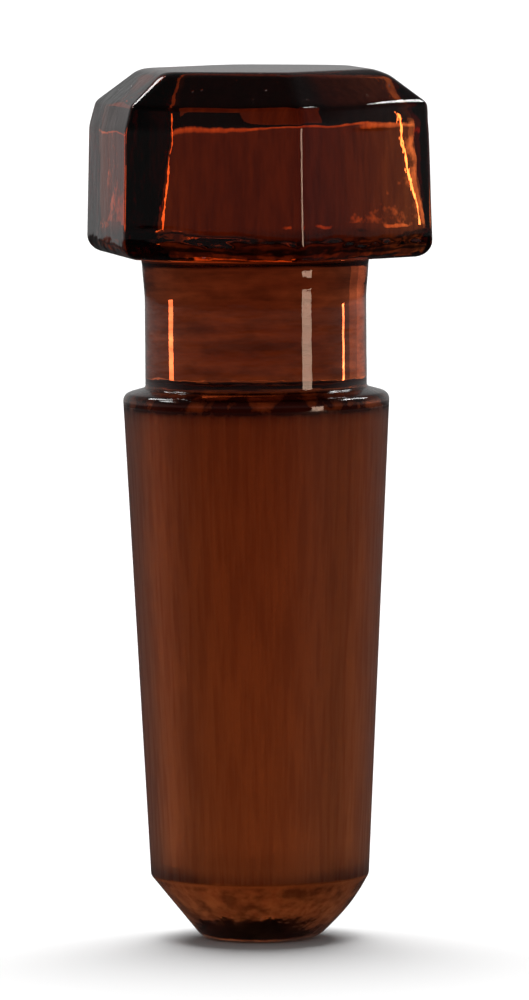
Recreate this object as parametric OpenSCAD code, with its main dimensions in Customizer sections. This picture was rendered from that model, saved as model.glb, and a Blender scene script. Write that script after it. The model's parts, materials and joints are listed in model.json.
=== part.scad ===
// Solid glass stopper: a pressed hexagonal head, a plain neck, and a ground 1:10 cone on a bevelled foot.
// It is one piece of glass and stands on its foot. +Z runs up its axis, and +X points at a corner of the head.

/* [Ground cone] */
// Diameter of the cone at its gauge plane
gauge_d = 12.5; // [11:0.1:14]
// Depth of the gauge plane below the top of the ground surface
gauge_drop = 1; // [0:0.5:2]
// Length of the ground surface
ground_len = 22.4; // [18:0.2:26]

/* [Foot] */
// Height of the bevel under the cone
foot_h = 3; // [2:0.1:3.5]
// Angle of that bevel from the axis
foot_angle = 39; // [30:1:45]
// Radius of the edge round the flat foot
foot_round = 0.8; // [0.2:0.1:0.8]
// Radius of the edge between the bevel and the cone
bevel_round = 0.3; // [0.1:0.1:0.5]

/* [Neck] */
// Diameter of the neck
neck_d = 10.5; // [9:0.1:10.8]
// Length of the neck, from the shoulder to the head
neck_len = 6.3; // [4:0.1:9]
// Height of the shoulder above the ground surface
shoulder_h = 0.8; // [0.6:0.1:1]
// Fall of the shoulder from the neck to its own rim
shoulder_fall = 0.3; // [0:0.05:0.3]
// Radius of the shoulder's rim
shoulder_round = 0.4; // [0.2:0.05:0.45]
// Radius at the root of the neck
root_round = 0.2; // [0.1:0.05:0.3]
// Radius between the neck and the head
neck_fillet = 0.5; // [0.2:0.1:0.8]

/* [Head] */
// Width of the head across its flats, at the underside
head_flats = 15; // [14.5:0.1:17]
// Height of the head
head_h = 8.8; // [7:0.1:11]
// Draft of its six sides
head_draft = 1.6; // [0:0.1:3]
// Height of the bevels round the top
head_bevel_h = 1.8; // [1.3:0.05:2]
// Angle of those bevels from the horizontal
head_bevel_angle = 40; // [35:0.1:50]
// Radius of the lower edges
low_round = 0.9; // [0.3:0.05:1]
// Radius of the edges between the sides and the bevels
side_round = 1; // [0.3:0.05:1]
// Radius of the edges of the top face
top_round = 1.2; // [0.3:0.1:1.2]
// Depth that is melted off the upright corners
corner_melt = 0.1; // [0.05:0.01:0.2]
// Distance that the head sits off the axis, towards +X
head_shift = 0.2; // [0:0.05:0.3]

/* [Hidden] */
$fn = 96;
sides = 6;
taper = 0.1;

// How far an arc stands past the edges that it joins, as a part of its radius
arc_bite = 0.004;
// How far a corner's trim or fill reaches past the corner, and a cutting shape past what it cuts
gap_margin = 0.1;
overcut = 1;

ground_top_z = foot_h + ground_len;
shoulder_rim_z = ground_top_z + shoulder_h - shoulder_fall;
neck_z = ground_top_z + shoulder_h;
head_z = neck_z + neck_len;
top_z = head_z + head_h;
bevel_z = top_z - head_bevel_h;

gauge_z = ground_top_z - gauge_drop;
function cone_r(z) = (gauge_d + taper * (z - gauge_z)) / 2;

neck_r = neck_d / 2;
foot_r = cone_r(foot_h) - foot_h * tan(foot_angle);

// Distances from the middle of the head to its flats
low_a = head_flats / 2;
side_a = low_a - (bevel_z - head_z) * tan(head_draft);
top_a = side_a - head_bevel_h / tan(head_bevel_angle);

// Unit vector along v
function unit(v) = v / norm(v);

// Area beyond the arc of radius r that rounds corner b, on the way from a to c. The arc crosses both edges
// at a small angle, so that it meets them in clean points.
module corner_gap(a, b, c, r) {
    inward = unit(unit(a - b) + unit(c - b));
    half = acos(inward * unit(a - b));
    centre = b + inward * r * (1 - arc_bite) / sin(half);
    outer = r + gap_margin;
    edge_bearing = atan2(inward.y, inward.x) + 180;
    function spoke(turn, length) = centre + length * [cos(edge_bearing + turn), sin(edge_bearing + turn)];
    difference() {
        polygon([centre, spoke(half - 90, outer), spoke(0, outer / sin(half)), spoke(90 - half, outer)]);
        translate(centre)
            circle(r);
    }
}

// Outline through corners given anticlockwise as [x, y, radius]. Outer corners are trimmed to their arcs,
// and inner corners are filled.
module outline(corners) {
    n = len(corners);
    at = [for (c = corners) [c.x, c.y]];
    module gaps(side) {
        for (i = [0:n - 1]) {
            a = at[(i + n - 1) % n];
            b = at[i];
            c = at[(i + 1) % n];
            if (corners[i].z > 0 && side * cross(b - a, c - b) > 0)
                corner_gap(a, b, c, corners[i].z);
        }
    }
    difference() {
        union() {
            polygon(at);
            gaps(-1);
        }
        gaps(1);
    }
}

// Foot, ground cone, shoulder and neck as one turned profile, which ends inside the head
module stem() {
    inside_head = low_round;
    rotate_extrude()
        outline([
            [0, 0, 0],
            [foot_r, 0, foot_round],
            [cone_r(foot_h), foot_h, bevel_round],
            [cone_r(shoulder_rim_z), shoulder_rim_z, shoulder_round],
            [neck_r, neck_z, root_round],
            [neck_r, head_z, neck_fillet],
            [neck_r + neck_fillet, head_z, 0],
            [neck_r + neck_fillet, head_z + inside_head, 0],
            [0, head_z + inside_head, 0],
        ]);
}

// What is cut away beyond one side of the head, which leaves the side's draft, its bevel and their rounded edges
module side_trim() {
    rotate([90, 0, 0])
        linear_extrude(2 * head_flats, center = true)
            difference() {
                translate([0, head_z - overcut])
                    square([head_flats, head_h + 2 * overcut]);
                outline([
                    [-overcut, head_z, 0],
                    [low_a, head_z, low_round],
                    [side_a, bevel_z, side_round],
                    [top_a, top_z, top_round],
                    [-overcut, top_z, 0],
                ]);
            }
}

// Tapered envelope that takes the sharpness off the upright corners
module corner_envelope() {
    corner_r = low_a / cos(180 / sides) - corner_melt;
    translate([0, 0, head_z])
        cylinder(h = head_h, r1 = corner_r, r2 = corner_r - head_h * tan(head_draft) / cos(180 / sides));
}

// Hexagonal head: a straight blank trimmed along its six sides, with its upright corners melted
module head() {
    translate([head_shift, 0, 0])
        intersection() {
            difference() {
                translate([0, 0, head_z])
                    cylinder(h = head_h, r = low_a / cos(180 / sides), $fn = sides);
                for (i = [0:sides - 1])
                    rotate((i + 0.5) * 360 / sides)
                        side_trim();
            }
            corner_envelope();
        }
}

module stopper() {
    color("saddlebrown")
        union() {
            stem();
            head();
        }
}

stopper();
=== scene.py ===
"""Looks of the glass stopper: one closed piece of amber glass, clear on the head, neck and foot, and ground
matt on the cone. Shapes are worked out in millimetres, and the studio in metres and degrees. +Z runs up the
axis, and +X points at a corner of the head.
"""
import json
import math

import bpy
import numpy as np
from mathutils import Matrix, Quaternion, Vector, noise


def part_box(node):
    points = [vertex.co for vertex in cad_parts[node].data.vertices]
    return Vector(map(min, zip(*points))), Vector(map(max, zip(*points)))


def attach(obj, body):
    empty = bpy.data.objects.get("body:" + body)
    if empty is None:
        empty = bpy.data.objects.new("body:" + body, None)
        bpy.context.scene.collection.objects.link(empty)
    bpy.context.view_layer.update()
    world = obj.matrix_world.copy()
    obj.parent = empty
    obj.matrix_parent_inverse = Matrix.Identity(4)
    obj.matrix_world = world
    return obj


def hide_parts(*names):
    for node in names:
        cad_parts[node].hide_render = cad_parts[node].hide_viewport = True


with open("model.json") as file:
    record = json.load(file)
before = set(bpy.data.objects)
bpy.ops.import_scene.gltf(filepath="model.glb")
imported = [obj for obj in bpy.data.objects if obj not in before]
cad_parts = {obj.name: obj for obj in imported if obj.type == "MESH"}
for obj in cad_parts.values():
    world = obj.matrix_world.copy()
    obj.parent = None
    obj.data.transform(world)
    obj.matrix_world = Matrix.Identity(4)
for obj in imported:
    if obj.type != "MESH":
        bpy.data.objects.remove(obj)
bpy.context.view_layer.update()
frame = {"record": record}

MM = 0.001

node_low, node_high = (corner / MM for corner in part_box("stopper"))
mounts = {mount["name"]: mount for mount in frame["record"]["mounts"]}


# ------------------------------------------------------------------------------------------- sizes

# Small distance, such as what keeps the mesh inside the CAD's box
MARGIN = 0.01

# Ground cone, whose gauge plane lies a little below the top of the ground surface
TAPER = 0.1
GAUGE_Z = mounts["ground_cone"]["pos_m"][2] / MM
GAUGE_R = mounts["ground_cone"]["dims"]["r_mm"]
GAUGE_DROP = 1.0
GROUND_TOP_Z = GAUGE_Z + GAUGE_DROP

FOOT_H = 3.0
FOOT_ANGLE = math.radians(39)
FOOT_ROUND = 0.8
BEVEL_ROUND = 0.3

SHOULDER_H = 0.8
SHOULDER_FALL = 0.3
SHOULDER_ROUND = 0.4

# Neck, and the collar just outside its fillet, where the head begins
NECK_R = 5.25
NECK_Z = GROUND_TOP_Z + SHOULDER_H
ROOT_ROUND = 0.2
NECK_FILLET = 0.5
COLLAR_R = NECK_R + NECK_FILLET + MARGIN

# Head. Its sides are numbered from +X anticlockwise, and an apothem is the distance of a side from the
# middle. The angles are those of a side and of half a side, as seen from the middle.
SIDES = 6
FRONT_LEFT_SIDE = 4
FRONT_RIGHT_SIDE = 5
SIDE_ANGLE = 2 * math.pi / SIDES
HALF_SIDE = SIDE_ANGLE / 2
HEAD_H = 8.8
HEAD_BEVEL_H = 1.8
HEAD_BEVEL_ANGLE = math.radians(40)
HEAD_DRAFT = math.radians(1.4)
LOW_ROUND = 0.8
CREASE_ROUND = 0.05
TOP_ROUND = 1.2
TOP_Z = node_high.z
HEAD_Z = TOP_Z - HEAD_H
BEVEL_Z = TOP_Z - HEAD_BEVEL_H
HEAD_SHIFT = (node_low.x + node_high.x) / 2
LOW_APOTHEM = (node_high.y - node_low.y) / 2 - MARGIN
SIDE_APOTHEM = LOW_APOTHEM - (BEVEL_Z - HEAD_Z) * math.tan(HEAD_DRAFT)
TOP_APOTHEM = SIDE_APOTHEM - HEAD_BEVEL_H / math.tan(HEAD_BEVEL_ANGLE)
SIDE_BULGE = 0.02

# Radii of the head's upright edges. The back ones waver a little: the left one is softer below, and the
# right one is softer above, on the side that it shares with the left one.
FRONT_LEFT_ROUND = 0.4
FRONT_EDGE_ROUND = 0.8
SIDE_EDGE_ROUND = 0.4
BACK_LEFT_ABOVE = 2.4
BACK_LEFT_BELOW = 4.6
BACK_RIGHT_ABOVE = 5.5
BACK_RIGHT_BELOW = 2.6
BACK_EDGE_WAVER = 0.2
BACK_WAVER_LENGTH = 1.1

# Towards the top face the radii go to MELT_SHARE of what they were, but to no less than TOP_EDGE_ROUND.
# None passes ROUND_LIMIT times the distance from the middle.
MELT_FROM_Z = BEVEL_Z - 0.3
MELT_SHARE = 0.8
TOP_EDGE_ROUND = 0.9
ROUND_LIMIT = 0.9

# Radii before and after each edge, from +X anticlockwise
EDGE_ROUNDS_BELOW = [
    (SIDE_EDGE_ROUND, SIDE_EDGE_ROUND),
    (BACK_RIGHT_BELOW, BACK_RIGHT_BELOW),
    (BACK_LEFT_BELOW, BACK_LEFT_BELOW),
    (SIDE_EDGE_ROUND, SIDE_EDGE_ROUND),
    (FRONT_LEFT_ROUND, FRONT_LEFT_ROUND),
    (FRONT_EDGE_ROUND, FRONT_EDGE_ROUND),
]
EDGE_ROUNDS_ABOVE = [
    (SIDE_EDGE_ROUND, SIDE_EDGE_ROUND),
    (BACK_RIGHT_BELOW, BACK_RIGHT_ABOVE),
    (BACK_LEFT_ABOVE, BACK_LEFT_ABOVE),
    (SIDE_EDGE_ROUND, SIDE_EDGE_ROUND),
    (FRONT_LEFT_ROUND, FRONT_LEFT_ROUND),
    (FRONT_EDGE_ROUND, FRONT_EDGE_ROUND),
]

# Narrow chamfer between each side and its bevel. It wanders, and its lower edge climbs near the front
# edge, where the cosine of the angle to that edge is over CHAMFER_CLIMB_FROM.
CHAMFER_LOW_Z = BEVEL_Z - 1.0
CHAMFER_HIGH_Z = BEVEL_Z + 0.2
CHAMFER_WANDER = 0.3
CHAMFER_WANDER_LENGTH = 3.0
CHAMFER_CLIMB = 0.4
CHAMFER_CLIMB_AT = math.radians(300)
CHAMFER_CLIMB_FROM = 0.6
CHAMFER_LOW_BLEND = 0.05
CHAMFER_HIGH_BLEND = 0.14

# Shallow groove above the lower edge of the two front sides. It falls from left to right over the share
# GROOVE_FALL of its length, and fades at each end over the share GROOVE_FADE.
GROOVE_LEFT_Z = HEAD_Z + 1.5
GROOVE_RIGHT_Z = HEAD_Z + 0.9
GROOVE_FALL = 0.6
GROOVE_FADE = 0.05
GROOVE_WANDER = 0.15
GROOVE_WANDER_LENGTH = 1.6
GROOVE_WIDTH = 0.16
GROOVE_DEPTH = 0.014

# Height up to which the sides' bulge and groove are full. From there they fade to the top.
SIDE_DETAIL_Z = BEVEL_Z + 0.4

# Unevenness of the pressing: the head's bevel and the foot are fuller on the right, the underside
# tilts, and the neck flares a little below the head. A span gives the heights where something starts,
# is full, fades and ends. The fullness begins where a surface faces so far to the right, from -1 to 1.
RIGHT_BEVEL_FULLNESS = 0.24
RIGHT_BEVEL_SPAN = (BEVEL_Z - 1.1, BEVEL_Z + 0.3, TOP_Z - 0.4, TOP_Z)
RIGHT_BEVEL_FROM = 0.6
RIGHT_FOOT_FULLNESS = 0.25
RIGHT_FOOT_FROM = 0.2
NECK_FLARE = 0.12
NECK_FLARE_SPAN = (HEAD_Z - 2.2, HEAD_Z - 0.3, HEAD_Z - 0.4, HEAD_Z)
UNDERSIDE_TILT = 0.06
UNDERSIDE_SPAN = (HEAD_Z - MARGIN, HEAD_Z, HEAD_Z + 0.6, HEAD_Z + 1.6)
UNDERSIDE_RUN = 1.0

# Waves in the fire-polished head, neck and foot: the span that they cover, and the waves themselves as
# (depth, width, stretch along x, y and z, seed)
HEAD_WAVES_SPAN = (HEAD_Z + 0.2, HEAD_Z + 1.2, TOP_Z - 0.6, TOP_Z - 0.05)
NECK_WAVES_SPAN = (NECK_Z + 0.1, NECK_Z + 0.6, HEAD_Z - 0.7, HEAD_Z - 0.1)
FOOT_WAVES_SPAN = (0.4, 0.9, FOOT_H - 0.5, FOOT_H - 0.1)
WAVES = [
    (HEAD_WAVES_SPAN, [(0.008, 3.0, (1, 1, 1), 0), (0.003, 1.1, (1, 1, 1), 1)]),
    (NECK_WAVES_SPAN, [(0.006, 1.0, (3.5, 3.5, 0.8), 2), (0.003, 0.6, (3, 3, 0.7), 3)]),
    (FOOT_WAVES_SPAN, [(0.008, 1.3, (1, 1, 1), 4)]),
]

# Seeds of the chamfer's and the groove's wander, and the steps through the noise that keep its uses
# apart
CHAMFER_SEED = 7
GROOVE_SEED = 9
NOISE_START = 5.1
SEED_STEP = 17.3
EDGE_STEP = 7.1
EDGE_SLICE = 0.5

# Spacing of the mesh's rows, the steps in each of their arcs, the number of columns along each side of
# the head, and how much closer together they are at its corners
STEM_SPACING = 0.25
STEM_ARC_STEPS = 8
HEAD_SPACING = 0.12
HEAD_ARC_STEPS = 10
COLUMNS_PER_SIDE = 48
COLUMN_CROWDING = 0.8


def cone_radius(z):
    """Radius of the ground cone at height z."""
    return GAUGE_R + TAPER / 2 * (z - GAUGE_Z)


# ----------------------------------------------------------------------------------------- outline

def smooth_step(low, high, value):
    """Smooth step from 0 at low to 1 at high. Low may be the greater of the two."""
    t = np.clip((value - low) / (high - low), 0, 1)
    return t * t * (3 - 2 * t)


def band(value, start, full, fading, end):
    """Smooth rise from 0 at start to 1 at full, and fall from 1 at fading to 0 at end."""
    return smooth_step(start, full, value) * smooth_step(end, fading, value)


def ripple(points, scale, stretch=(1, 1, 1), seed=0):
    """Smooth noise from -1 to 1 at points given in millimetres, with features about as wide as scale."""
    grid = np.asarray(points) / (np.array(stretch) * scale) + SEED_STEP * seed + NOISE_START
    return np.array([noise.noise(Vector(p)) for p in grid])


def arc_points(before, corner, after, radius, steps):
    """Points of the arc that rounds a corner of a path."""
    b = np.array(corner)
    u = (np.array(before) - b) / np.linalg.norm(np.array(before) - b)
    v = (np.array(after) - b) / np.linalg.norm(np.array(after) - b)
    half = math.acos(float(u @ v)) / 2
    centre = b + (u + v) / np.linalg.norm(u + v) * radius / math.sin(half)
    start = b + u * radius / math.tan(half) - centre
    end = b + v * radius / math.tan(half) - centre
    first = math.atan2(start[1], start[0])
    sweep = (math.atan2(end[1], end[0]) - first + math.pi) % (2 * math.pi) - math.pi
    angles = first + sweep * np.linspace(0, 1, steps + 1)
    return [tuple(centre + radius * np.array([math.cos(a), math.sin(a)])) for a in angles]


def rounded_path(corners, spacing, arc_steps):
    """Points along a path through corners given as (x, z, radius), with straight stretches split evenly."""
    knots = [[corners[0][:2]]]
    for before, corner, after in zip(corners, corners[1:], corners[2:]):
        knots.append(arc_points(before[:2], corner[:2], after[:2], corner[2], arc_steps))
    knots.append([corners[-1][:2]])
    points = []
    for piece, following in zip(knots, knots[1:] + [None]):
        points += piece
        if following:
            start, end = np.array(piece[-1]), np.array(following[0])
            count = max(1, math.ceil(np.linalg.norm(end - start) / spacing))
            points += [tuple(start + (end - start) * k / count) for k in range(1, count)]
    return points


def stem_path():
    """Foot, ground cone, shoulder and neck, from the axis to the collar where the head begins."""
    return rounded_path([
        (0, 0, 0),
        (cone_radius(FOOT_H) - FOOT_H * math.tan(FOOT_ANGLE), 0, FOOT_ROUND),
        (cone_radius(FOOT_H), FOOT_H, BEVEL_ROUND),
        (cone_radius(NECK_Z - SHOULDER_FALL), NECK_Z - SHOULDER_FALL, SHOULDER_ROUND),
        (NECK_R, NECK_Z, ROOT_ROUND),
        (NECK_R, HEAD_Z, NECK_FILLET),
        (COLLAR_R, HEAD_Z, 0),
    ], STEM_SPACING, STEM_ARC_STEPS)[1:]


def head_path():
    """Underside, side, bevel and top of the head, measured to the middle of a side."""
    return rounded_path([
        (COLLAR_R, HEAD_Z, 0),
        (LOW_APOTHEM, HEAD_Z, LOW_ROUND),
        (SIDE_APOTHEM, BEVEL_Z, CREASE_ROUND),
        (TOP_APOTHEM, TOP_Z, TOP_ROUND),
        (0, TOP_Z, 0),
    ], HEAD_SPACING, HEAD_ARC_STEPS)[1:-1]


# -------------------------------------------------------------------------------------------- head

def blend_min(a, b, width):
    """Lower of two values, with the crease between them rounded off."""
    near = np.maximum(width - np.abs(a - b), 0) / width
    return np.minimum(a, b) - near ** 2 * width / 4


def side_apothem(z, low_edge, high_edge):
    """Distance of the head's side, chamfer or bevel from its middle at height z."""
    def side(height):
        return LOW_APOTHEM - (height - HEAD_Z) * math.tan(HEAD_DRAFT)

    def bevel(height):
        return SIDE_APOTHEM - (height - BEVEL_Z) / math.tan(HEAD_BEVEL_ANGLE)

    slope = (bevel(high_edge) - side(low_edge)) / (high_edge - low_edge)
    chamfer = side(low_edge) + slope * (z - low_edge)
    lower = blend_min(side(z), chamfer, CHAMFER_LOW_BLEND)
    return blend_min(lower, bevel(z), CHAMFER_HIGH_BLEND)


def hexagon_radius(angles, apothem, rounding):
    """Distance from the middle of a hexagon, with corners at 0, 60, 120..., to its rounded outline.

    Each corner is a parabola that touches the side before it and the side after it as far from the corner
    as arcs of the two radii in rounding would.
    """
    past = (angles + HALF_SIDE) % SIDE_ANGLE - HALF_SIDE
    corner = apothem / math.cos(HALF_SIDE)
    reach_before = rounding[:, 0] * math.tan(HALF_SIDE)
    reach_after = rounding[:, 1] * math.tan(HALF_SIDE)
    before = reach_before * np.sin(SIDE_ANGLE - past)
    after = reach_after * np.sin(SIDE_ANGLE + past)
    across = before + corner * np.sin(past)
    root = np.sqrt(np.maximum(before ** 2 + (after - before) * across, 0))
    way = np.clip(across / (before + root), 0, 1)
    start = (1 - way) ** 2 * reach_before
    end = way ** 2 * reach_after
    rounded = np.hypot(corner - (start + end) / 2, (end - start) * math.cos(HALF_SIDE))
    flat = apothem / np.cos(HALF_SIDE - np.abs(past))
    return np.where((way > 0) & (way < 1), rounded, flat)


def edge_rounding(z, apothem, angles):
    """Radii before and after the upright edge nearest each column, at height z."""
    edge = np.round(angles / SIDE_ANGLE).astype(int) % SIDES
    radii = np.array(EDGE_ROUNDS_BELOW)
    radii = radii + (np.array(EDGE_ROUNDS_ABOVE) - radii) * smooth_step(HEAD_Z, BEVEL_Z, z)
    for k in range(SIDES):
        waver = BACK_EDGE_WAVER * noise.noise(Vector((EDGE_STEP * k, z / BACK_WAVER_LENGTH, EDGE_SLICE)))
        radii[k] += np.where(radii[k] > TOP_EDGE_ROUND, waver, 0)
    melted = np.maximum(TOP_EDGE_ROUND, radii * MELT_SHARE)
    radii = radii + (melted - radii) * smooth_step(MELT_FROM_Z, TOP_Z, z)
    return np.minimum(radii, apothem * ROUND_LIMIT)[edge]


def head_rings(angles):
    """Rows of the head as (radii, z, how much of the hexagon shows)."""
    side_of = np.floor(angles / SIDE_ANGLE).astype(int) % SIDES
    run = np.tan(angles - (side_of + 0.5) * SIDE_ANGLE) / math.tan(HALF_SIDE)
    bulge = SIDE_BULGE * (1 - run ** 2) ** 2

    outline = np.stack([LOW_APOTHEM * np.cos(angles), LOW_APOTHEM * np.sin(angles), 0 * angles], 1)
    wander = CHAMFER_WANDER * ripple(outline, CHAMFER_WANDER_LENGTH, seed=CHAMFER_SEED)
    climb = CHAMFER_CLIMB * smooth_step(CHAMFER_CLIMB_FROM, 1, np.cos(angles - CHAMFER_CLIMB_AT))
    low_edge = CHAMFER_LOW_Z + climb + wander
    high_edge = CHAMFER_HIGH_Z + wander / 2

    # Way along the two front sides, from 0 at the left to 1 at the right
    front = np.full_like(angles, -1)
    front = np.where(side_of == FRONT_LEFT_SIDE, (run + 1) / 4, front)
    front = np.where(side_of == FRONT_RIGHT_SIDE, (run + 3) / 4, front)
    groove_z = GROOVE_LEFT_Z + (GROOVE_RIGHT_Z - GROOVE_LEFT_Z) * smooth_step(0, GROOVE_FALL, front)
    groove_z = groove_z + GROOVE_WANDER * ripple(outline, GROOVE_WANDER_LENGTH, seed=GROOVE_SEED)
    groove_ends = band(front, 0, GROOVE_FADE, 1 - GROOVE_FADE, 1)

    side_low = HEAD_Z + LOW_ROUND
    side_high = TOP_Z - TOP_ROUND * (1 - math.cos(HEAD_BEVEL_ANGLE))
    rings = []
    for a, z in head_path():
        hexness = 1.0
        if math.isclose(z, HEAD_Z):
            hexness = float(np.clip((a - COLLAR_R) / (LOW_APOTHEM - LOW_ROUND - COLLAR_R), 0, 1))
        flat = np.full_like(angles, a)
        if side_low < z < side_high:
            flat = side_apothem(z, low_edge, high_edge)
        fade = float(smooth_step(TOP_Z, SIDE_DETAIL_Z, z)) * hexness
        groove = GROOVE_DEPTH * np.exp(-((z - groove_z) / GROOVE_WIDTH) ** 2) * groove_ends
        reach = flat + (bulge - groove) * fade
        r = (1 - hexness) * a + hexness * hexagon_radius(angles, reach, edge_rounding(z, a, angles))
        rings.append((r, z, hexness))
    return rings


# -------------------------------------------------------------------------------------------- mesh

def column_angles():
    """Directions of the mesh's columns, closer together at the corners of the head."""
    t = np.linspace(-1, 1, COLUMNS_PER_SIDE, endpoint=False)
    side = (t + COLUMN_CROWDING * np.sin(math.pi * t) / math.pi) * HALF_SIDE
    turns = np.concatenate([(k + 0.5) * SIDE_ANGLE + side for k in range(SIDES)])
    return np.sort(turns % (2 * math.pi))


def add_waves(points, out):
    """Move points in or out by the waves of the head, neck and foot. The ground cone stays true."""
    shift = 0
    for span, waves in WAVES:
        height = sum(depth * ripple(points, width, stretch, seed) for depth, width, stretch, seed in waves)
        shift = shift + band(points[:, 2], *span) * height
    points[:, :2] += out * shift[:, None]


def press_unevenly(points, out):
    """Move points as the uneven pressing left them."""
    z = points[:, 2].copy()
    r = np.hypot(points[:, 0], points[:, 1])
    right = out[:, 0]
    bevel = band(z, *RIGHT_BEVEL_SPAN) * smooth_step(RIGHT_BEVEL_FROM, 1, right)
    points[:, 0] += RIGHT_BEVEL_FULLNESS * bevel
    flare = band(z, *NECK_FLARE_SPAN)
    points[:, :2] += out * (NECK_FLARE * flare)[:, None]
    foot = np.sin(math.pi * np.clip(z / FOOT_H, 0, 1)) * smooth_step(RIGHT_FOOT_FROM, 1, right)
    points[:, :2] += out * (RIGHT_FOOT_FULLNESS * foot)[:, None]
    underside = band(z, *UNDERSIDE_SPAN) * smooth_step(COLLAR_R, COLLAR_R + UNDERSIDE_RUN, r)
    points[:, 2] -= UNDERSIDE_TILT * right * underside


def glass_mesh():
    """The whole stopper as one closed mesh of rings from the foot to the top."""
    angles = column_angles()
    rings = [(np.full_like(angles, r), z, 0.0) for r, z in stem_path()] + head_rings(angles)
    rows = []
    for r, z, hexness in rings:
        x = r * np.cos(angles) + HEAD_SHIFT * hexness
        rows.append(np.stack([x, r * np.sin(angles), np.full_like(r, z)], 1))
    points = np.concatenate(rows)
    out = np.tile(np.stack([np.cos(angles), np.sin(angles)], 1), (len(rows), 1))
    add_waves(points, out)
    press_unevenly(points, out)

    columns = len(angles)
    around = [(k, (k + 1) % columns) for k in range(columns)]
    tip = 1 + len(rings) * columns
    verts = [(0.0, 0.0, 0.0)] + [tuple(p) for p in points * MM] + [(HEAD_SHIFT * MM, 0.0, TOP_Z * MM)]
    faces = [(0, 1 + after, 1 + k) for k, after in around]
    for low in range(1, tip - columns, columns):
        high = low + columns
        faces += [(low + k, low + after, high + after, high + k) for k, after in around]
    faces += [(tip - columns + k, tip - columns + after, tip) for k, after in around]
    mesh = bpy.data.meshes.new("glass_stopper")
    mesh.from_pydata(verts, [], faces)
    mesh.polygons.foreach_set("use_smooth", [True] * len(mesh.polygons))
    mesh.update()
    return mesh


# ----------------------------------------------------------------------------------------- shading

class Shading:
    """Short ways to add nodes to a node tree."""

    def __init__(self, tree):
        self.nodes, self.links = tree.nodes, tree.links
        self.nodes.clear()

    def feed(self, socket, value):
        """Link an output to a socket, or give the socket a plain value."""
        if isinstance(value, bpy.types.NodeSocket):
            self.links.new(value, socket)
        else:
            socket.default_value = value

    def math(self, operation, a, b=0.0):
        """Output of a math node on one value or two."""
        node = self.nodes.new("ShaderNodeMath")
        node.operation = operation
        self.feed(node.inputs[0], a)
        self.feed(node.inputs[1], b)
        return node.outputs["Value"]

    def total(self, *values):
        """Sum of the values."""
        result = values[0]
        for value in values[1:]:
            result = self.math("ADD", result, value)
        return result

    def product(self, *values):
        """Product of the values."""
        result = values[0]
        for value in values[1:]:
            result = self.math("MULTIPLY", result, value)
        return result

    def vector(self, operation, a, b, output="Vector"):
        """Output of a vector math node on two vectors."""
        node = self.nodes.new("ShaderNodeVectorMath")
        node.operation = operation
        self.feed(node.inputs[0], a)
        self.feed(node.inputs[1], b)
        return node.outputs[output]

    def ramp(self, value, low, high):
        """Smooth step from 0 at low to 1 at high."""
        node = self.nodes.new("ShaderNodeMapRange")
        node.interpolation_type = "SMOOTHSTEP"
        self.feed(node.inputs["Value"], value)
        node.inputs["From Min"].default_value = low
        node.inputs["From Max"].default_value = high
        return node.outputs["Result"]

    def mix(self, factor, first, second):
        """Colour that goes from first to second as factor goes from 0 to 1."""
        node = self.nodes.new("ShaderNodeMix")
        node.data_type = "RGBA"
        sockets = {socket.identifier: socket for socket in node.inputs}
        self.feed(sockets["Factor_Float"], factor)
        self.feed(sockets["A_Color"], first)
        self.feed(sockets["B_Color"], second)
        return next(socket for socket in node.outputs if socket.identifier == "Result_Color")

    def profile(self, value, points):
        """Piecewise linear curve through (x, y) points, with x from -1 to 1."""
        node = self.nodes.new("ShaderNodeFloatCurve")
        self.feed(node.inputs["Value"], value)
        node.mapping.clip_min_x, node.mapping.clip_max_x = -1, 1
        node.mapping.use_clip = False
        curve = node.mapping.curves[0]
        while len(curve.points) < len(points):
            curve.points.new(0, 0)
        for point, location in zip(curve.points, points):
            point.location = location
            point.handle_type = "VECTOR"
        node.mapping.update()
        return node.outputs["Value"]


WHITE = (1, 1, 1, 1)

# Absorption of red, green and blue for each metre of glass. The volume's density is DENSITY_MARGIN times
# the strongest, so that no part of its colour is 0.
ABSORB_PER_M = [125.0, 285.0, 440.0]
DENSITY_MARGIN = 1.02
IOR = 1.5

# Colour of the darker marks in the glass, which also paints shade at the cone's ends; colour of the
# nearly black neck mottling, which also paints black shade on the rim, shoulder and foot; tint of the neck
CORD_AND_SHADE_COLOUR = (0.24, 0.07, 0.09, 1)
DEEP_MOTTLE_AND_SHADE_COLOUR = (0.02, 0.006, 0.006, 1)
NECK_COLOUR = (1.0, 0.8, 1.0, 1)

# Heights where each part of the surface starts and is full and, if it ends again, where it fades and ends
PART_SPANS = {
    "head": (HEAD_Z - 0.2, HEAD_Z + 0.6),
    "rim": (HEAD_Z, HEAD_Z + 0.15, HEAD_Z + 0.5, HEAD_Z + 1.1),
    "bevel": (BEVEL_Z, BEVEL_Z + 0.4),
    "shoulder": (GROUND_TOP_Z - 0.4, GROUND_TOP_Z, NECK_Z, NECK_Z + 0.3),
    "neck": (NECK_Z, NECK_Z + 0.5, HEAD_Z - 0.3, HEAD_Z + 0.3),
    "ground": (FOOT_H - 0.1, FOOT_H + 0.1, GROUND_TOP_Z - 0.1, GROUND_TOP_Z + 0.1),
    "foot": (FOOT_H, FOOT_H - 0.3),
}

# Where the left flank starts and is full, along X
LEFT_FLANK_X = (-4.6, -5.4)

# Darker marks: upright cords in the head, level bands in the neck, clouds on the foot, and the lines
# that grinding left on the cone. Each is (part, width, height, detail, cover, contrast, strength).
DARK_MARKS = [
    ("head", 0.4, 2.4, 4.0, 0.5, 4.0, 0.55),
    ("neck", 2.2, 0.7, 4.0, 0.5, 4.0, 0.55),
    ("foot", 0.45, 0.6, 4.0, 0.5, 4.0, 0.55),
    ("ground", 0.3, 5.4, 3.0, 0.5, 4.0, 0.45),
]
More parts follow.
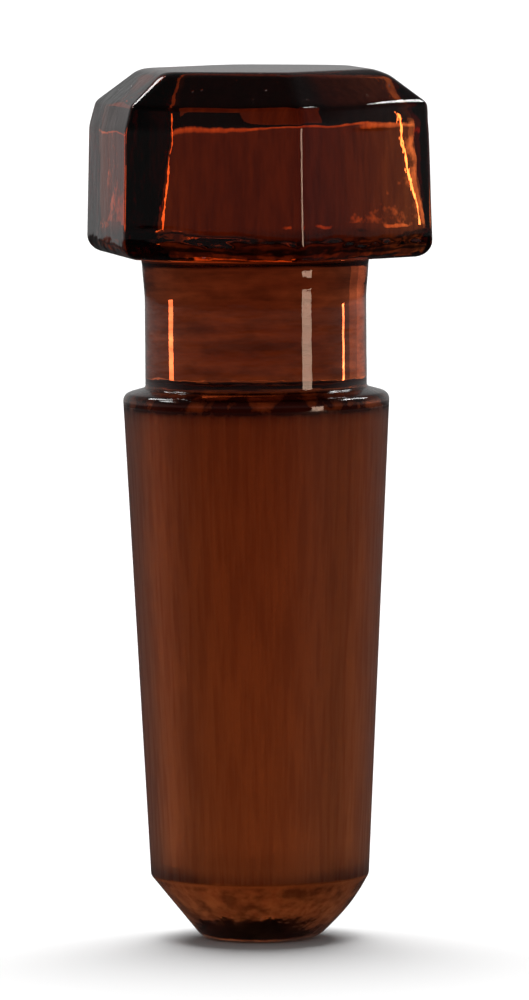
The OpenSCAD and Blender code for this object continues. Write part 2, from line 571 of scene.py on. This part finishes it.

# Nearly black, in the same form: painted black shade on the rim, the shoulder and the foot, and deep
# mottling in the neck
DEEP_MOTTLE_AND_SHADE_MARKS = [
    ("rim", 0.8, 0.8, 3.0, 0.8, 4.0, 0.95),
    ("shoulder", 0.9, 0.9, 3.0, 0.85, 4.0, 1.0),
    ("neck", 1.5, 0.6, 4.0, 0.4, 5.0, 0.5),
    ("foot", 1.4, 1.0, 4.0, 0.3, 7.0, 0.8),
]

# Painted shade at the ends of the ground cone: its height, and its strength in either colour
GROUND_END_H = 0.8
GROUND_END_SHADE = 0.4
GROUND_END_DEEP_SHADE = 0.3

# Roughness of the ground cone and of the cloudy patches on the foot, which are (width, height, detail)
GROUND_ROUGH = 0.5
FOOT_ROUGH = 0.35
FOOT_PATCHES = (1.1, 1.5, 2.0)

# Relief: orange peel on the head, with more on its left flank, waves on its lower rim, ripple on the
# neck and mottling on the foot. Each is (parts, width, height, detail, depth).
RELIEF = [
    (["head"], 0.9, 1.5, 3.0, 0.011),
    (["head", "left"], 0.9, 2.0, 3.0, 0.035),
    (["rim"], 2.3, 1.3, 2.0, 0.35),
    (["neck"], 1.6, 0.45, 2.0, 0.006),
    (["foot"], 0.8, 0.8, 2.0, 0.05),
]

# Tiny open bubbles on the bevels
PIT_SPACING = 0.5
PIT_RADIUS = 0.08
PIT_SHARE = 0.35
PIT_DEPTH = 0.05


def amber_glass():
    """Amber glass: it refracts, absorbs through its volume, and carries marks, painted shade and relief on
    its surface.
    """
    material = bpy.data.materials.new("amber_glass")
    material.use_nodes = True
    s = Shading(material.node_tree)
    glass = s.nodes.new("ShaderNodeBsdfPrincipled")
    glass.inputs["Transmission Weight"].default_value = 1
    glass.inputs["IOR"].default_value = IOR
    absorb = s.nodes.new("ShaderNodeVolumeAbsorption")
    density = max(ABSORB_PER_M) * DENSITY_MARGIN
    absorb.inputs["Color"].default_value = (*(1 - a / density for a in ABSORB_PER_M), 1)
    absorb.inputs["Density"].default_value = density
    output = s.nodes.new("ShaderNodeOutputMaterial")
    s.feed(output.inputs["Surface"], glass.outputs["BSDF"])
    s.feed(output.inputs["Volume"], absorb.outputs["Volume"])

    place = s.nodes.new("ShaderNodeTexCoord").outputs["Object"]
    split = s.nodes.new("ShaderNodeSeparateXYZ")
    s.feed(split.inputs["Vector"], place)
    masks = surface_masks(s, split.outputs["X"], split.outputs["Z"])
    s.feed(glass.inputs["Base Color"], surface_tint(s, place, split.outputs["Z"], masks))
    s.feed(glass.inputs["Roughness"], roughness(s, place, masks))
    s.feed(glass.inputs["Normal"], surface_relief(s, place, masks))
    return material


def ramp_mm(s, value, low, high):
    """Smooth step between two places in millimetres."""
    return s.ramp(value, low * MM, high * MM)


def surface_masks(s, x, z):
    """Where each part of the surface is, from 0 to 1."""
    masks = {"left": ramp_mm(s, x, *LEFT_FLANK_X)}
    for part, (start, full, *rest) in PART_SPANS.items():
        masks[part] = ramp_mm(s, z, start, full)
        if rest:
            fading, end = rest
            masks[part] = s.product(masks[part], ramp_mm(s, z, end, fading))
    return masks


def grain(s, place, width, height, detail):
    """Noise from about -0.5 to 0.5 with features that are so many millimetres wide and high."""
    texture = s.nodes.new("ShaderNodeTexNoise")
    texture.inputs["Scale"].default_value = 1.0
    texture.inputs["Detail"].default_value = detail
    scale = (1 / (width * MM), 1 / (width * MM), 1 / (height * MM))
    s.feed(texture.inputs["Vector"], s.vector("MULTIPLY", place, scale))
    return s.math("SUBTRACT", texture.outputs["Fac"], 0.5)


def marks(s, place, masks, rows):
    """Sum of the shares, from 0 to 1 each, of the surface that the marks in these rows cover."""
    shares = []
    for part, width, height, detail, cover, contrast, strength in rows:
        raised = s.math("ADD", s.math("MULTIPLY", grain(s, place, width, height, detail), contrast), cover)
        shares.append(s.product(s.math("MINIMUM", s.math("MAXIMUM", raised, 0), 1), masks[part], strength))
    return s.total(*shares)


def surface_tint(s, place, z, masks):
    """Colour of the surface: white, tinted on the neck, and darker at the marks. It paints shade at the
    cone's ends, and black shade on the rim, shoulder and foot.
    """
    # Painted shade at both ends of the ground cone
    ends = s.total(ramp_mm(s, z, FOOT_H + GROUND_END_H, FOOT_H),
                   ramp_mm(s, z, GROUND_TOP_Z - GROUND_END_H, GROUND_TOP_Z))
    dark = s.total(marks(s, place, masks, DARK_MARKS), s.product(ends, masks["ground"], GROUND_END_SHADE))
    # Nearly black: painted black shade on the rim, shoulder, foot and cone's ends, and deep mottling in the
    # neck
    deep = s.total(marks(s, place, masks, DEEP_MOTTLE_AND_SHADE_MARKS), s.product(ends, masks["ground"], GROUND_END_DEEP_SHADE))
    clear = s.mix(masks["neck"], WHITE, NECK_COLOUR)
    return s.mix(deep, s.mix(dark, clear, CORD_AND_SHADE_COLOUR), DEEP_MOTTLE_AND_SHADE_COLOUR)


def roughness(s, place, masks):
    """Matt on the ground cone, cloudy in patches on the foot, and polished elsewhere."""
    patches = s.math("ADD", grain(s, place, *FOOT_PATCHES), 0.5)
    return s.total(s.product(masks["ground"], GROUND_ROUGH), s.product(masks["foot"], patches, FOOT_ROUGH))


def surface_relief(s, place, masks):
    """Normals of the surface's fine relief, whose heights are in millimetres."""
    layers = []
    for parts, width, height, detail, depth in RELIEF:
        where = [masks[part] for part in parts]
        layers.append(s.product(grain(s, place, width, height, detail), *where, depth))
    layers.append(s.product(bubble_pits(s, place), masks["bevel"], -PIT_DEPTH))
    bump = s.nodes.new("ShaderNodeBump")
    bump.inputs["Strength"].default_value = 1
    bump.inputs["Distance"].default_value = MM
    s.feed(bump.inputs["Height"], s.total(*layers))
    return bump.outputs["Normal"]


def bubble_pits(s, place):
    """1 in the middle of each scattered bubble and 0 between them."""
    cells = s.nodes.new("ShaderNodeTexVoronoi")
    cells.inputs["Scale"].default_value = 1 / (PIT_SPACING * MM)
    s.feed(cells.inputs["Vector"], place)
    pit = s.ramp(cells.outputs["Distance"], PIT_RADIUS / PIT_SPACING, 0)
    chance = s.nodes.new("ShaderNodeSeparateColor")
    s.feed(chance.inputs["Color"], cells.outputs["Color"])
    return s.product(pit, s.math("GREATER_THAN", chance.outputs["Red"], 1 - PIT_SHARE))


# ------------------------------------------------------------------------------------------ studio

# Camera: where it stands, in metres and radians, what it looks at, its lens and its sensor
AZIMUTH = math.radians(17.3)
ELEVATION = math.radians(4.5)
ROLL = math.radians(0.456)
DISTANCE = 0.5
TARGET = Vector((0, 0, 20.6 * MM))
LENS = 379.4
SENSOR_WIDTH = 36
FRAME_SHIFT = (0.0074, 0.0045)
CLIP = (0.01, 20)

# Directions as the camera has them, apart from its elevation
RIGHT = Vector((math.cos(AZIMUTH), math.sin(AZIMUTH), 0))
TOWARD = Vector((math.sin(AZIMUTH), -math.cos(AZIMUTH), 0))
UP = Vector((0, 0, 1))

# Distance of the softboxes, and the colours of their light
LIGHT_REACH = 0.6
NEUTRAL = (1, 1, 1)
WARM = (1.0, 0.68, 0.5)

# Brightness of the studio by elevation in degrees, as seen through the glass: a dark table, a lit
# backdrop whose foot is brightest, and a soft light high behind. NEAR_TABLE times NEAR_SIDE is added for
# the lit near side of the table. NEAR_SIDE goes from -1 straight behind the stopper to 1 in front of it.
THROUGH = [(-90, 0.6), (-52, 0.6), (-40, 0.02), (-6.8, 0.02), (-6.5, 3), (-5.7, 3), (-5.4, 0.47), (3, 0.47),
           (7, 0.12), (12, 0.1), (16, 0.8), (24, 0.8), (29, 0.05), (90, 0.02)]
NEAR_TABLE = [(-90, 0), (-52, 0), (-40, 0.6), (-7, 0.6), (-5, 0), (90, 0)]
NEAR_SIDE = [(-1, 0), (-0.75, 0), (-0.2, 0.8), (0.1, 1), (1, 1)]

# Brightness as mirrored by the glass: by elevation, and from -1 in front of the stopper to 1 straight
# behind
MIRROR_UP = [(-90, 0.05), (-5, 0.12), (-3.2, 0.85), (10, 1.0), (25, 0.4), (50, 0.2), (90, 0.1)]
MIRROR_AROUND = [(-1, 0.1), (-0.2, 0.12), (0.3, 0.28), (1, 0.34)]

# Even light on the floor, and the soft light above and behind that throws the shadow forward
AMBIENT = 0.2
SKY_ENERGY = 4.3
SKY_ANGLE = math.radians(60)
SKY_RISE = 65

# Floor: half its side, and the gap between it and the foot
FLOOR_HALF = 3.0
FLOOR_GAP = 0.03 * MM
FLOOR_COLOUR = (0.9, 0.9, 0.9, 1)
FLOOR_ROUGH = 0.9

# How many surfaces a ray of light may meet
BOUNCES = 32
GLOSSY_BOUNCES = 16


def direction(turn, rise):
    """Unit vector turned to the right from straight behind the stopper, and raised, in degrees."""
    turn, rise = math.radians(turn), math.radians(rise)
    return (-TOWARD * math.cos(turn) + RIGHT * math.sin(turn)) * math.cos(rise) + UP * math.sin(rise)


def softbox(name, turn, rise, width, height, radiance, mirrored, colour=NEUTRAL):
    """Rectangular light, with its middle and size in degrees and its radiance in times white.

    The glass either mirrors it or shows it through itself.
    """
    light = bpy.data.lights.new(name, "AREA")
    light.shape = "RECTANGLE"
    light.size = 2 * LIGHT_REACH * math.tan(math.radians(width / 2))
    light.size_y = 2 * LIGHT_REACH * math.tan(math.radians(height / 2))
    light.color = colour
    light.energy = radiance * math.pi * light.size * light.size_y
    lamp = bpy.data.objects.new(name, light)
    way = direction(turn, rise)
    lamp.location = TARGET + way * LIGHT_REACH
    lamp.rotation_mode = "QUATERNION"
    lamp.rotation_quaternion = (-way).to_track_quat("-Z", "Y")
    lamp.visible_camera = False
    lamp.visible_diffuse = False
    lamp.visible_glossy = mirrored
    lamp.visible_transmission = not mirrored
    bpy.context.scene.collection.objects.link(lamp)


def sky_light():
    """Broad soft light for the floor alone."""
    sun = bpy.data.lights.new("sky", "SUN")
    sun.angle = SKY_ANGLE
    sun.energy = SKY_ENERGY
    lamp = bpy.data.objects.new("sky", sun)
    lamp.rotation_mode = "QUATERNION"
    lamp.rotation_quaternion = (-direction(0, SKY_RISE)).to_track_quat("-Z", "Y")
    lamp.visible_camera = False
    lamp.visible_glossy = False
    lamp.visible_transmission = False
    bpy.context.scene.collection.objects.link(lamp)


def lights():
    """Softboxes as (name, turn, rise, width, height, radiance), and the light on the floor."""
    softbox("strip_left", -40.2, -5.8, 1.6, 8, 20, mirrored=False)
    softbox("strip_right", 37.8, -4.6, 3.4, 8, 10, mirrored=False)
    softbox("soft_left", -70, 0, 28, 16, 0.7, mirrored=False)
    softbox("soft_left_inner", -60, 0, 28, 16, 0.6, mirrored=False)
    softbox("rim_box", 8, 31, 26, 4, 6, mirrored=False)
    softbox("table_back", 0, -16, 46, 17, 0.42, mirrored=False)
    softbox("table_left", -60, -33, 22, 20, 0.8, mirrored=False)
    softbox("table_right", 50, -33, 20, 20, 0.8, mirrored=False)
    softbox("front_box", 125.4, -3.5, 11, 14, 7, mirrored=True, colour=WARM)
    softbox("back_left", -33, 42, 12, 14, 6, mirrored=True)
    softbox("back_right", 45, 37, 12, 10, 6, mirrored=True)
    softbox("side_left", -68, 44, 14, 8, 8, mirrored=True)
    softbox("edge_box", 57, 45, 15, 6, 12, mirrored=True)
    sky_light()


def world_light():
    """Plain studio round the stopper: white to the camera, graded for the glass, even for the floor."""
    world = bpy.data.worlds.new("studio")
    bpy.context.scene.world = world
    world.use_nodes = True
    world.cycles.sampling_method = "NONE"
    s = Shading(world.node_tree)
    way = s.nodes.new("ShaderNodeTexCoord").outputs["Generated"]

    def along(axis):
        return s.vector("DOT_PRODUCT", way, tuple(axis), "Value")

    def by_degrees(points):
        return [(degrees / 90, level) for degrees, level in points]

    rise = s.math("MULTIPLY", s.math("ARCSINE", along(UP)), 2 / math.pi)
    table = s.product(s.profile(rise, by_degrees(NEAR_TABLE)), s.profile(along(TOWARD), NEAR_SIDE))
    through = s.total(s.profile(rise, by_degrees(THROUGH)), table)
    mirrored = s.product(s.profile(along(-TOWARD), MIRROR_AROUND), s.profile(rise, by_degrees(MIRROR_UP)))

    ray = s.nodes.new("ShaderNodeLightPath").outputs
    level = s.product(through, ray["Is Transmission Ray"])
    level = s.total(level, s.product(mirrored, ray["Is Reflection Ray"]))
    level = s.math("MAXIMUM", level, ray["Is Camera Ray"])
    level = s.math("MAXIMUM", level, s.product(ray["Is Diffuse Ray"], AMBIENT))
    background = s.nodes.new("ShaderNodeBackground")
    background.inputs["Color"].default_value = WHITE
    s.feed(background.inputs["Strength"], level)
    output = s.nodes.new("ShaderNodeOutputWorld")
    s.feed(output.inputs["Surface"], background.outputs["Background"])


def floor():
    """Plain pale floor, just under the foot. The glass sees the studio's own levels in its place."""
    low, high = -FLOOR_HALF, FLOOR_HALF
    mesh = bpy.data.meshes.new("floor")
    mesh.from_pydata([(low, low, 0), (high, low, 0), (high, high, 0), (low, high, 0)], [], [(0, 1, 2, 3)])
    material = bpy.data.materials.new("floor")
    material.use_nodes = True
    paint = material.node_tree.nodes["Principled BSDF"]
    paint.inputs["Base Color"].default_value = FLOOR_COLOUR
    paint.inputs["Roughness"].default_value = FLOOR_ROUGH
    mesh.materials.append(material)
    sheet = bpy.data.objects.new("floor", mesh)
    sheet.location.z = -FLOOR_GAP
    sheet.visible_transmission = False
    sheet.visible_glossy = False
    bpy.context.scene.collection.objects.link(sheet)


def camera():
    """Camera in front of the stopper, a little above it and rolled a little."""
    view = bpy.data.cameras.new("camera")
    view.sensor_width = SENSOR_WIDTH
    view.lens = LENS
    view.shift_x, view.shift_y = FRAME_SHIFT
    view.clip_start, view.clip_end = CLIP
    back = TOWARD * math.cos(ELEVATION) + UP * math.sin(ELEVATION)
    eye = bpy.data.objects.new("camera", view)
    eye.location = TARGET + back * DISTANCE
    eye.rotation_mode = "QUATERNION"
    eye.rotation_quaternion = (-back).to_track_quat("-Z", "Y") @ Quaternion((0, 0, 1), -ROLL)
    bpy.context.scene.collection.objects.link(eye)
    bpy.context.scene.camera = eye


# ------------------------------------------------------------------------------------------- scene

stopper = bpy.data.objects.new("glass_stopper", glass_mesh())
bpy.context.scene.collection.objects.link(stopper)
stopper.data.materials.append(amber_glass())
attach(stopper, "root")
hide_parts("stopper")

world_light()
lights()
floor()
camera()

scene = bpy.context.scene
scene.view_settings.view_transform = "Standard"
scene.cycles.max_bounces = BOUNCES
scene.cycles.transmission_bounces = BOUNCES
scene.cycles.glossy_bounces = GLOSSY_BOUNCES
